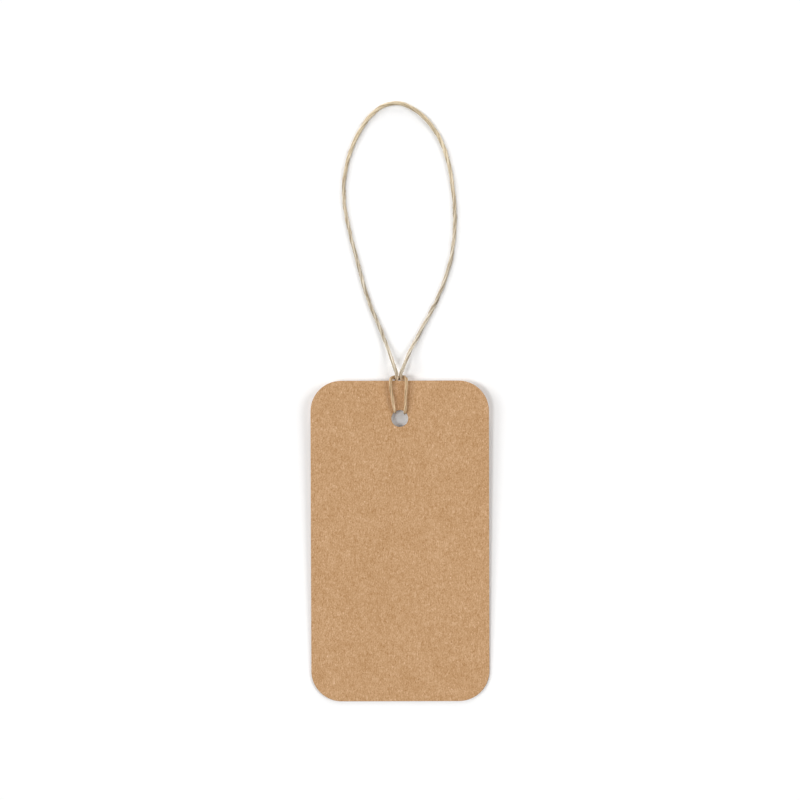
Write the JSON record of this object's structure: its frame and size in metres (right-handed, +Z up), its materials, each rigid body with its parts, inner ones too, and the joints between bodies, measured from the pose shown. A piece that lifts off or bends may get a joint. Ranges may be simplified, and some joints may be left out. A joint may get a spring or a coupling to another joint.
{
  "type": "gift tag",
  "caption": "Blank kraft card gift tag with rounded corners and a punched hole, hung on a loop of natural twine that is girth-hitched through the hole.",
  "frame": {"origin": "under the middle of the card, on the surface that the tag lies on", "axes": "+X across the card, +Y along the card towards the hole and the loop, +Z up out of the written face"},
  "size_m": [0.05, 0.1686, 0.005],
  "materials": {
    "kraft_card": "matte",
    "twine": "matte"
  },
  "bodies": {
    "card": {"tag_card": "kraft_card", "twine_hitch": "twine", "knot_hole_end": "twine", "knot_loop_end": "twine"},
    "loop": {"twine_loop": "twine"}
  },
  "joints": [
    {"name": "loop_swing", "type": "hinge", "parent": "card", "child": "loop", "pos_m": [0, 0.04887, 0.00356], "axis": [1, 0, 0], "range_deg": [-100, 145]}
  ]
}
